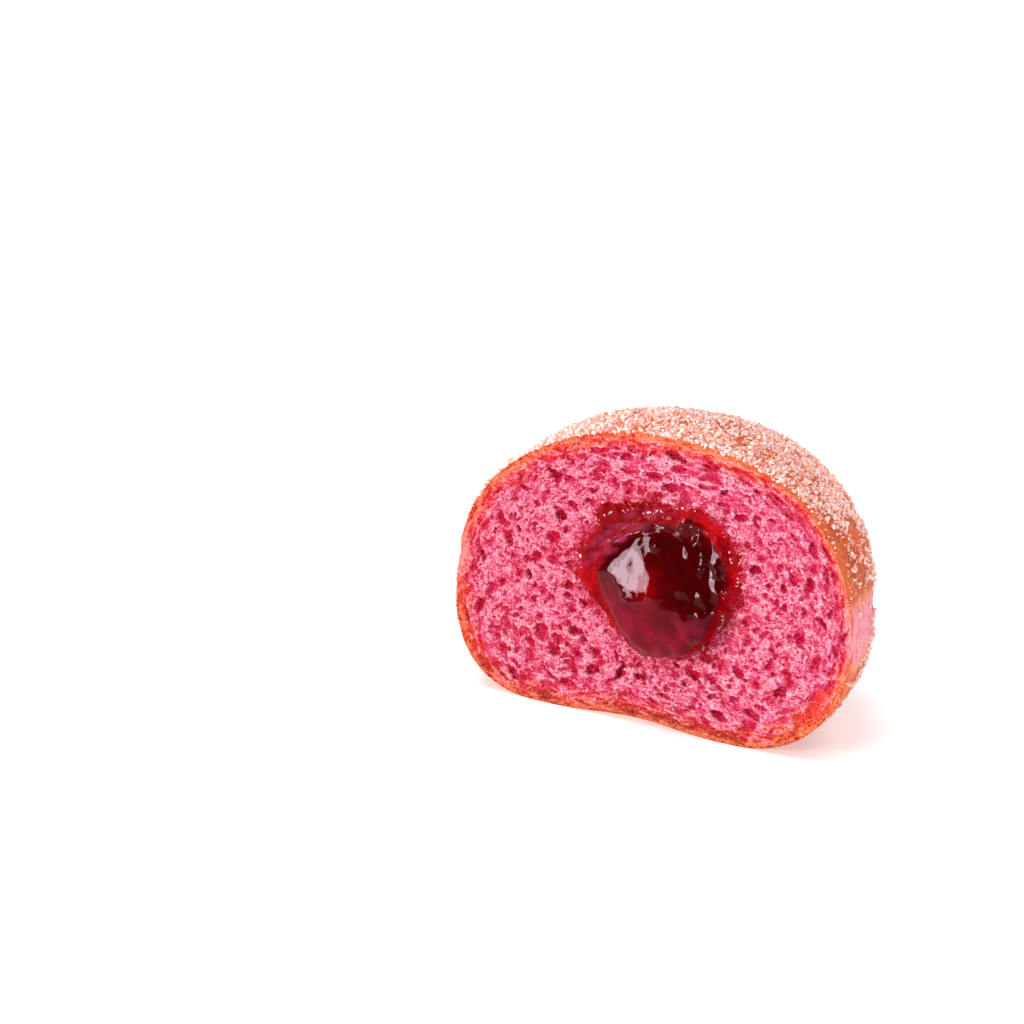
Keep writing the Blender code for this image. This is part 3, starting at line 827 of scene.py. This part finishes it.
pit = mix_colour(tree, 1.0, dye, (0.80, 0.12, 0.30), "MULTIPLY")
dye = mix_colour(tree, spread(tree, pitted, 0.36, 0.31), dye, pit)
tone = maths(tree, "MULTIPLY_ADD", spread(tree, pitted, 0.36, 0.28), -0.6, tone)
tree.links.new(dye, shader["Base Color"])
tree.links.new(bumped(tree, tone, 0.30 * MM, 0.8), shader["Normal"])
crumb = new_piece("crumb", crumb_mesh, crumb_material)
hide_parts("dough")
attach(crumb, "root")


# ------------------------------------------------------------------------------------------------------
# The jelly. Set red fruit jelly that fills the pocket, sags out of the cut with a flat wet front that
# leans over its foot, and is smeared thinly over the torn crumb round its mouth. One glossy solid.
JELLY_STEPS = 420
JELLY_DOME_RINGS = 92
JELLY_FILM_RINGS = 22
FILM = 0.36 * MM
JELLY_DEEP = (0.040, 0.0003, 0.0006)
JELLY_MID = (0.110, 0.0006, 0.0028)
JELLY_THIN = (0.34, 0.0008, 0.0040)

# Soft lumps of fruit in the front: (right, up, size, height) from the middle of the mouth, in millimetres.
JELLY_LUMPS = ((-1.3, 7.9, 1.1, 0.55), (6.9, 10.2, 0.9, 0.45), (8.05, 7.6, 0.55, 0.30), (8.4, 6.5, 0.55, 0.30),
               (8.3, 5.4, 0.55, 0.28), (11.7, 7.4, 1.6, 0.90), (12.6, 6.4, 0.7, 0.40), (12.8, 2.0, 1.5, 0.85),
               (12.0, -2.2, 1.8, 0.95), (9.2, -2.4, 0.8, 0.35), (9.0, 1.4, 0.9, 0.30), (10.6, 9.6, 0.8, 0.45),
               (3.6, 11.4, 1.0, 0.50), (-4.2, 10.6, 1.0, 0.50))

turn = np.linspace(-math.pi, math.pi, JELLY_STEPS, endpoint=False)


def bulge(angle, towards, width):
    """1 in this direction, falling to 0 this far to either side."""
    off = (angle - towards + math.pi) % math.tau - math.pi
    return np.exp(-((off / width) ** 2))


edge = mouth_radius(turn)
film_width = (2.3 + 1.7 * bulge(turn, 2.45, 0.55) + 1.9 * bulge(turn, 2.2, 0.33) + 1.0 * bulge(turn, -2.95, 0.5) + 0.6 * bulge(turn, 1.5, 0.5)
              - 1.3 * bulge(turn, -1.5, 0.55) - 0.9 * bulge(turn, -0.8, 0.4)) * MM
fringe = np.array([noise.fractal(Vector((math.cos(a), math.sin(a), 0.3)) * 4.0, 0.8, 2.0, 4) for a in turn])
smear = edge + np.maximum(0.5 * MM, film_width + 1.5 * MM * fringe)
dome_share = np.linspace(0.0, 1.0, JELLY_DOME_RINGS) ** 0.85
reach = np.concatenate([dome_share[None, :] * edge[:, None],
                        edge[:, None] + (smear - edge)[:, None]
                        * np.linspace(0.0, 1.0, JELLY_FILM_RINGS + 1)[None, 1:]], axis=1)
part = reach / edge[:, None]
x = MOUTH_X + reach * np.cos(turn)[:, None]
z = MOUTH_Z + reach * np.sin(turn)[:, None]
right, up = (x - MOUTH_X) / MM, (z - MOUTH_Z) / MM


def waves_over(size, seed, octaves=1):
    """Noise over the jelly's front, about -1 to 1, with waves this many millimetres long."""
    return np.array([[noise.fractal(Vector((a, b, seed)) / size, 1.0, 2.0, octaves) for a, b in zip(*pair)]
                     for pair in zip(right, up)])


def soft_least(first, second, round_over):
    return -np.logaddexp(-first / round_over, -second / round_over) * round_over


lumps, ripples, beady = waves_over(5.0, 5.0, 2), waves_over(1.6, 9.0), waves_over(0.5, 2.0)
front = 1.25 + 0.17 * (right + 6.5) - (right + 6.5) ** 2 / 94 - 0.43 * (up - 5.0) - (up - 5.0) ** 2 / 94
shoulder = -0.69 * right + 0.72 * up - 9.5 + 0.5 * ripples
front -= 0.42 * np.logaddexp(0.0, shoulder / 0.25) * 0.25
flank = -0.76 * right - 0.65 * up - 10.1 + 0.3 * lumps
front -= 1.15 * np.logaddexp(0.0, flank / 0.3) * 0.3
high = smoothstep((up + 0.4 * right) / 8.0)
ragged_part = part * (1.0 + 0.035 * ripples + 0.06 * lumps + 0.11 * high * waves_over(3.2, 17.0))
wandering = np.clip(ragged_part, 0.0, 1.0)
front = soft_least(front, 5.2 * (1.0 - wandering**5.0) ** (0.5 + 0.3 * high), 0.30)
rimward = smoothstep((part - 0.35) / 0.6)
right_side = smoothstep(0.5 + 0.9 * np.cos(turn - 0.35))[:, None]
leftward = smoothstep((4.0 - right) / 8.0)
front += 0.16 * lumps * (1.0 - 0.25 * leftward) + 0.035 * ripples * (1.0 - 0.6 * leftward + 1.5 * rimward * (1.0 - leftward))
folds = 1.0 - np.abs(np.sin((np.hypot(right, up) + 1.3 * lumps + 0.8 * np.sin(3.0 * turn)[:, None]) * 0.95))
front += 0.22 * folds**2 * rimward * right_side
swells = np.array([[noise.noise(Vector((a / 2.6, b / 4.2, 3.0))) for a, b in zip(*pair)] for pair in zip(right, up)])
front += 0.62 * swells * smoothstep((right - 0.5) / 5.0)
crumb_under = face.at(face.soft(sunk, 0.70 * MM), x, z) / MM
inward = smoothstep((smear[:, None] - reach) / (2.2 * MM))
film = FILM / MM * (0.15 + 0.85 * inward) + 0.05 * beady + 0.12 * ripples - 0.9 * crumb_under
film += 0.40 * np.exp(-(((part - 0.95) / 0.05) ** 2)) * smoothstep((up + 2.0) / 6.0)
to_edge = smoothstep((smear[:, None] - reach) / (0.45 * MM))
film = film * to_edge - (1.0 - to_edge) * (crumb_under + 0.3)
raised = np.logaddexp(front / 0.2, film / 0.2) * 0.2 - film
front = film + raised * smoothstep((1.06 - ragged_part) / 0.16)
dome = np.clip(front / 4.0, 0.0, 1.2)
front += 0.0032 * beady * leftward
for lump_right, lump_up, lump_size, lump_height in JELLY_LUMPS:
    front += lump_height * np.exp(-((right - lump_right) ** 2 + (up - lump_up) ** 2) / lump_size**2)
front, film = front * MM, film * MM
hang = 1.2 * MM * dome * part * smoothstep((1.05 - part) / 0.12)
front_points = np.stack([x, CUT_Y - front, z - hang], axis=-1)

jelly_number = 1 + np.arange(JELLY_STEPS * (reach.shape[1] - 1)).reshape(JELLY_STEPS, -1)
after = np.roll(jelly_number, -1, axis=0)
jelly_faces = np.stack([jelly_number[:, :-1], after[:, :-1], after[:, 1:], jelly_number[:, 1:]],
                       axis=-1).reshape(-1, 4).tolist()
jelly_faces += [(0, int(a), int(b)) for a, b in zip(jelly_number[:, 0], after[:, 0])]
jelly_points = np.vstack([front_points[0, 0], front_points[:, 1:].reshape(-1, 3)])
pocket_points, pocket_faces, pocket_ring = pocket(-CRUMB_INSIDE_MOUTH - 0.1 * MM, len(jelly_points))
pocket_points[:, 1] += 0.9 * MM * np.exp(-(pocket_points[:, 1] - CUT_Y) / (3 * MM))
jelly_points = np.vstack([jelly_points, pocket_points])
jelly_faces += pocket_faces + zipped(
    jelly_number[:, -1], turn, pocket_ring, angles_round(jelly_points[pocket_ring], mouth_middle))
jelly_mesh = closed_mesh("jelly", jelly_points, jelly_faces)
thick = smoothstep(((front - film) / MM - 0.02) / 0.8) * smoothstep((1.02 - ragged_part) / 0.16)
jelly_look = blend_of(JELLY_THIN, JELLY_MID, thick)
thick = np.maximum(thick, 0.9 * smoothstep((1.0 - ragged_part) / 0.12) * smoothstep((up - 2.0) / 4.0))
deep = thick * smoothstep((up + 7.0 + 0.35 * right + 2.5 * lumps) / 7.0)
jelly_look = blend_of(jelly_look, JELLY_DEEP, deep)
# A painted glow: a brighter red patch left of the middle, as if light shone through the jelly.
painted_glow = np.exp(-(((right + 1.2) / 3.2) ** 2 + ((up - 0.2) / 3.3) ** 2)) * smoothstep(0.75 + lumps)
jelly_look = blend_of(jelly_look, (0.19, 0.0004, 0.0008), 0.75 * painted_glow)
pulpy = smoothstep(0.45 + 0.8 * waves_over(3.4, 31.0, 3)) * smoothstep((-1.0 - up) / 4.0) * (part < 1.0)
jelly_look = blend_of(jelly_look, (0.22, 0.0010, 0.022), 0.6 * pulpy)
# A painted reflection of the pink crumb on the slope past the shoulder, broken into streaks like crumb fibres under the
# jelly.
pink_reflection_and_strands = smoothstep(shoulder / 1.5) * smoothstep((1.22 - part) / 0.15)
pink_reflection_and_strands = pink_reflection_and_strands * smoothstep(0.42 + 0.9 * np.array([[noise.noise(Vector((a + b, 3.0 * (b - 0.6 * a), 7.0)) / 4.0)
                                                  for a, b in zip(*pair)] for pair in zip(right, up)]))
film_dark = (1.0 - thick) * smoothstep(0.4 + 0.9 * lumps + 0.8 * bulge(turn, 2.2, 0.6)[:, None])
jelly_look = blend_of(jelly_look, (0.17, 0.0004, 0.0016), 0.9 * film_dark)
jelly_look = blend_of(jelly_look, (0.30, 0.020, 0.062), 0.8 * pink_reflection_and_strands)
outermost = 1.0 - smoothstep((smear[:, None] - reach) / (0.7 * MM))
jelly_look = blend_of(jelly_look, (0.42, 0.005, 0.020), (1.0 - thick) * outermost * 0.7)
colours = np.full((len(jelly_points), 3), JELLY_DEEP)
colours[0] = jelly_look[0, 0]
colours[1:1 + jelly_number.size] = jelly_look[:, 1:].reshape(-1, 3)
tint(jelly_mesh, colours)
smeared = jelly_mesh.attributes.new("Smeared", "FLOAT", "POINT")
smeared.data.foreach_set("value", np.concatenate([[0.0], (1.0 - thick)[:, 1:].ravel(), np.zeros(len(pocket_points))]))

jelly_material, tree, shader = new_material(
    "red_jelly", Roughness=0.04, Specular_IOR_Level=0.12, Specular_Tint=(1.0, 0.68, 0.80, 1.0))
place = add(tree, "ShaderNodeTexCoord")["Object"]
dye = add(tree, "ShaderNodeAttribute", attribute_name="Tint")["Color"]
pulp = noise_at(tree, place, 1.6 * MM, 3.0, 0.6)
dye = mix_colour(tree, spread(tree, pulp, 0.56, 0.80), dye, (1.8, 1.5, 1.6), "MULTIPLY")
tree.links.new(dye, shader["Base Color"])
film_here = add(tree, "ShaderNodeAttribute", attribute_name="Smeared")["Fac"]
tree.links.new(maths(tree, "MULTIPLY_ADD", film_here, -0.06, 0.12), shader["Specular IOR Level"])
wavy = bumped(tree, noise_at(tree, place, 1.0 * MM, 2.0, 0.5), 0.02 * MM, 0.5)
drops = spread(tree, noise_at(tree, place, 0.55 * MM, 1.0, 0.5), 0.56, 0.72)
drops = maths(tree, "MULTIPLY", drops, film_here)
tree.links.new(bumped(tree, drops, 0.08 * MM, 0.7, wavy), shader["Normal"])
jelly = new_piece("jelly", jelly_mesh, jelly_material)
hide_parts("jelly")
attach(jelly, "root")


# ------------------------------------------------------------------------------------------------------
# The beads. Small round drops of jelly and grains of sugar that the knife dragged out, left glistening
# in clusters along the edge of the smear. Loose wet balls that rest on the film, half sunk in it.
BEAD_CLUSTERS = (  # direction in degrees, distance in mouth radii, how many
    (147, 1.26, 9), (134, 1.27, 6), (103, 1.08, 11), (93, 1.09, 9), (82, 1.16, 10), (74, 1.18, 6), (55, 1.18, 13),
    (61, 0.93, 6), (29, 1.04, 6), (31, 1.18, 9), (20, 1.16, 8), (13, 1.15, 8), (5, 1.00, 7), (-11, 0.95, 4),
    (-19, 1.04, 9), (-28, 1.05, 10), (-37, 1.06, 8), (-70, 1.08, 8), (-55, 1.06, 6), (240, 1.12, 9), (176, 1.22, 8),
    (200, 1.22, 6), (120, 1.2, 4), (45, 1.1, 5), (222, 1.15, 4))
bead_work = bmesh.new()
for degrees, share_out, count in BEAD_CLUSTERS:
    for _ in range(count):
        towards = math.radians(degrees + face.random.normal() * 3.2)
        out_reach = float(mouth_radius(towards)) * (share_out + face.random.normal() * 0.018)
        middle = (MOUTH_X + out_reach * math.cos(towards), MOUTH_Z + out_reach * math.sin(towards))
        spot = np.argmin(np.hypot(front_points[..., 0] - middle[0], front_points[..., 2] - middle[1]))
        radius = face.random.uniform(0.07, 0.10 + 0.14 * face.random.random()) * MM
        bmesh.ops.create_icosphere(bead_work, subdivisions=1, radius=radius, matrix=Matrix.LocRotScale(
            Vector(front_points.reshape(-1, 3)[spot]) - Vector((0, 0.3 * radius, 0)), None,
            Vector((1.0, 0.8, face.random.uniform(0.8, 1.7)))))
bead_mesh = bpy.data.meshes.new("jelly_beads")
bead_work.to_mesh(bead_mesh)
bead_work.free()
bead_mesh.shade_smooth()
bead_material, tree, shader = new_material("wet_bead", Roughness=0.08, Specular_IOR_Level=0.6)
place = add(tree, "ShaderNodeTexCoord")["Object"]
tree.links.new(mix_colour(tree, spread(tree, noise_at(tree, place, 0.8 * MM), 0.45, 0.62),
                          (0.95, 0.26, 0.30), (1.0, 0.85, 0.84)), shader["Base Color"])
beads = new_piece("jelly_beads", bead_mesh, bead_material)
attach(beads, "root")


# ------------------------------------------------------------------------------------------------------
# The sugar. Granulated sugar that the hot doughnut was rolled in: hard bright grains that stuck thickly on
# the crown and round the sides, thinly under the waist and hardly at all on the pale band.
COARSE_GRAIN, COARSE_COUNT = 0.72 * MM, 2400
MEDIUM_GRAIN, MEDIUM_COUNT = 0.48 * MM, 5600
FINE_GRAIN, FINE_COUNT = 0.27 * MM, 13000


def crystal(name, sides, bevel):
    """One sugar crystal a unit across: a slightly skewed block with some of its edges broken off."""
    work = bmesh.new()
    bmesh.ops.create_cube(work, size=1.0)
    for vertex in work.verts:
        vertex.co = Vector((vertex.co.x * sides[0] + 0.16 * vertex.co.z, vertex.co.y * sides[1],
                            vertex.co.z * sides[2]))
    if bevel:
        work.verts.ensure_lookup_table()
        corners = [work.verts[i] for i in (0, 3, 5, 6)]
        bmesh.ops.bevel(work, geom=corners, offset=bevel, segments=1, affect="VERTICES")
    bmesh.ops.recalc_face_normals(work, faces=work.faces)
    mesh = bpy.data.meshes.new(name)
    work.to_mesh(mesh)
    work.free()
    return bpy.data.objects.new(name, mesh)


def sugar_tree():
    """Strews copies of a grain over the skin, thickest where the skin's Sugar value is highest."""
    tree, given = geometry_tree("strewn sugar", {
        "Grain": "NodeSocketObject", "Grain Size": "NodeSocketFloat", "Number Per Square Metre": "NodeSocketFloat",
        "Seed": "NodeSocketInt", "Material": "NodeSocketMaterial"})
    cover = add(tree, "GeometryNodeInputNamedAttribute", {"Name": "Sugar"}, data_type="FLOAT")[0]
    strewn = add(tree, "GeometryNodeDistributePointsOnFaces", {
        "Mesh": given["Geometry"], "Density": maths(tree, "MULTIPLY", cover, given["Number Per Square Metre"]),
        "Seed": given["Seed"]})
    grain = add(tree, "GeometryNodeObjectInfo", {"Object": given["Grain"]})["Geometry"]
    turned = add(tree, "FunctionNodeRandomValue", {
        0: (-math.pi, -math.pi, -math.pi), 1: (math.pi, math.pi, math.pi), "Seed": given["Seed"]},
        data_type="FLOAT_VECTOR")[0]
    size = add(tree, "FunctionNodeRandomValue", {2: 0.62, 3: 1.3, "Seed": given["Seed"]}, data_type="FLOAT")[1]
    size = maths(tree, "MULTIPLY", size, given["Grain Size"])
    lift = add(tree, "ShaderNodeVectorMath", {0: strewn["Normal"], "Scale": maths(tree, "MULTIPLY", size, 0.26)},
               operation="SCALE")[0]
    lifted = add(tree, "GeometryNodeSetPosition", {"Geometry": strewn["Points"], "Offset": lift})[0]
    copies = add(tree, "GeometryNodeInstanceOnPoints", {
        "Points": lifted, "Instance": grain, "Rotation": turned, "Scale": size})[0]
    finish_tree(tree, copies, given["Material"])
    return tree


sugar_material, tree, shader = new_material("sugar", Roughness=0.25, Specular_IOR_Level=0.7)
place = add(tree, "ShaderNodeTexCoord")["Object"]
frost = noise_at(tree, place, 0.7 * MM, 2.0)
tree.links.new(mix_colour(tree, spread(tree, frost, 0.40, 0.66), (0.90, 0.375, 0.268), (1.0, 0.87, 0.85)),
               shader["Base Color"])
tree.links.new(maths(tree, "MULTIPLY_ADD", frost, 0.4, 0.05), shader["Roughness"])

outside = new_piece("sugared_skin", bpy.data.meshes.new("sugared_skin"))
outside.data.from_pydata(skin_grid.reshape(-1, 3).tolist(), [], [])
columns, rows_count = skin_grid.shape[:2]
number = np.arange(columns * rows_count).reshape(columns, rows_count)
quads = np.stack([number[:-1, :-1], number[1:, :-1], number[1:, 1:], number[:-1, 1:]], axis=-1).reshape(-1, 4)
flat_points = skin_grid.reshape(-1, 3)
outside.data.clear_geometry()
outside.data.from_pydata(flat_points.tolist(), [], quads.tolist())
tilt_up = np.array([vertex.normal.z for vertex in outside.data.vertices])
side = np.array([tuple(vertex.normal) for vertex in outside.data.vertices])
if (side * (flat_points - heart)).sum(axis=1).mean() < 0:
    outside.data.flip_normals()
    tilt_up = -tilt_up
clumps = np.array([noise.fractal(Vector(point) / (5.0 * MM), 1.0, 2.0, 3) for point in flat_points])
streaks = np.array([noise.noise(Vector((p[0] / 3.0, p[1] / 3.0, p[2] / 9.0)) / MM) for p in flat_points])
height_at = flat_points[:, 2]
crown = smoothstep((height_at - 42 * MM) / (12 * MM))
cover = 0.34 + 0.68 * crown
waist = np.exp(-(((height_at - 27.0 * MM) / (6.0 * MM)) ** 2))
cover = cover * (1.0 - 0.96 * waist)
cover = np.where(height_at < 20 * MM, cover * 0.75, cover)
cover = cover * smoothstep((height_at - 0.8 * MM) / (5 * MM))
cover = cover * np.clip(1.0 + (1.0 + 1.1 * (1.0 - crown)) * clumps + 1.7 * streaks * (1.0 - crown), 0.04, 2.2)
behind = flat_points[:, 1] - CUT_Y
cover = cover * (1.0 - 0.22 * (1.0 - crown) * smoothstep((flat_points[:, 0] - 12 * MM) / (14 * MM)))
strip = (0.5 + 4.6 * (1.0 - crown) * (flat_points[:, 0] > 0)) * MM  # barer beside the cut, on the right
cover = cover * (0.20 + 0.80 * smoothstep((behind - 0.10 * MM - 0.4 * strip) / strip))
left_edge = np.exp(-behind / (1.0 * MM)) * smoothstep((-flat_points[:, 0] - 6 * MM) / (10 * MM))
cover = cover + 1.3 * left_edge * smoothstep((height_at - 9 * MM) / (8 * MM)) * (1.0 - 0.6 * waist)
kept = outside.data.attributes.new("Sugar", "FLOAT", "POINT")
kept.data.foreach_set("value", np.clip(cover, 0.0, 1.6))
quad_corners = flat_points[quads]
area = np.linalg.norm(np.cross(quad_corners[:, 2] - quad_corners[:, 0], quad_corners[:, 3] - quad_corners[:, 1]), axis=1) / 2
covered = float((area * np.clip(cover, 0.0, 1.6)[quads].mean(axis=1)).sum())
strew = sugar_tree()
for name, grain_size, count, seed, sides, bevel in (
        ("sugar_coarse", COARSE_GRAIN, COARSE_COUNT, 3, (1.0, 0.82, 0.70), 0.30),
        ("sugar_medium", MEDIUM_GRAIN, MEDIUM_COUNT, 8, (1.0, 0.86, 0.78), 0.0),
        ("sugar_fine", FINE_GRAIN, FINE_COUNT, 15, (1.0, 0.90, 0.85), 0.0)):
    grain = crystal(name + "_grain", sides, bevel)
    mesh = mesh_from(strew, outside, {
        "Grain": grain, "Grain Size": grain_size, "Number Per Square Metre": count / covered, "Seed": seed,
        "Material": sugar_material})
    mesh.shade_flat()
    sugar = new_piece(name, mesh, sugar_material)
    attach(sugar, "root")
    bpy.data.objects.remove(grain)
bpy.data.objects.remove(outside)


# ------------------------------------------------------------------------------------------------------
# The studio: a plain near-white table, a large softbox over it, a tall one at the left, a strip at the
# right and one behind, in a dim room. The camera looks down on the cut from its right, through a long lens.
floor_mesh = bpy.data.meshes.new("table")
floor_mesh.from_pydata([(-4, -4, 0), (4, -4, 0), (4, 4, 0), (-4, 4, 0)], [], [(0, 1, 2, 3)])
floor_material, tree, shader = new_material(
    "white_table", Base_Color=(0.97, 0.97, 0.97, 1.0), Roughness=0.8, Emission_Color=(1.0, 1.0, 1.0, 1.0),
    Emission_Strength=0.30)
floor = new_piece("table", floor_mesh, floor_material)


def softbox(name, place, aim, width, height, power):
    light = bpy.data.lights.new(name, "AREA")
    light.shape = "RECTANGLE"
    light.size, light.size_y, light.energy = width, height, power
    lamp = bpy.data.objects.new(name, light)
    lamp.location = place
    lamp.rotation_euler = (Vector(aim) - Vector(place)).to_track_quat("-Z", "Y").to_euler()
    bpy.context.scene.collection.objects.link(lamp)


softbox("overhead", (-0.15, -0.15, 1.25), (0, 0, 0.03), 1.0, 0.8, 12.3)
softbox("left", (-0.745, -0.81, 0.245), (0, 0, 0.03), 0.28, 0.39, 11.1)
softbox("left_core", (-0.70, -0.79, 0.16), (0, 0, 0.03), 0.13, 0.14, 1.3)
softbox("right", (0.80, -0.75, 0.45), (0, 0, 0.03), 0.12, 0.5, 3.6)
softbox("behind", (0.35, 0.75, 1.05), (0, 0, 0.03), 0.9, 0.6, 6.3)
world = bpy.data.worlds.new("pale_room")
world.use_nodes = True
world.node_tree.nodes["Background"].inputs[0].default_value = (1.0, 1.0, 1.0, 1.0)
world.node_tree.nodes["Background"].inputs[1].default_value = 0.06
bpy.context.scene.world = world
bpy.context.scene.view_settings.view_transform = "Standard"

CAMERA_AIM = Vector((-29.1 * MM, CUT_Y, 37.66 * MM))
CAMERA_TURN = math.radians(27.5)
CAMERA_LIFT = math.radians(25.0)
CAMERA_AWAY = 1.5
FIELD_WIDTH = 0.1894
back = Vector((math.sin(CAMERA_TURN) * math.cos(CAMERA_LIFT), -math.cos(CAMERA_TURN) * math.cos(CAMERA_LIFT),
               math.sin(CAMERA_LIFT)))
camera = bpy.data.objects.new("camera", bpy.data.cameras.new("camera"))
camera.data.sensor_width = 36.0
camera.data.lens = 36.0 * CAMERA_AWAY / FIELD_WIDTH
camera.location = CAMERA_AIM + back * CAMERA_AWAY
camera.rotation_euler = back.to_track_quat("Z", "Y").to_euler()
bpy.context.scene.collection.objects.link(camera)
bpy.context.scene.camera = camera
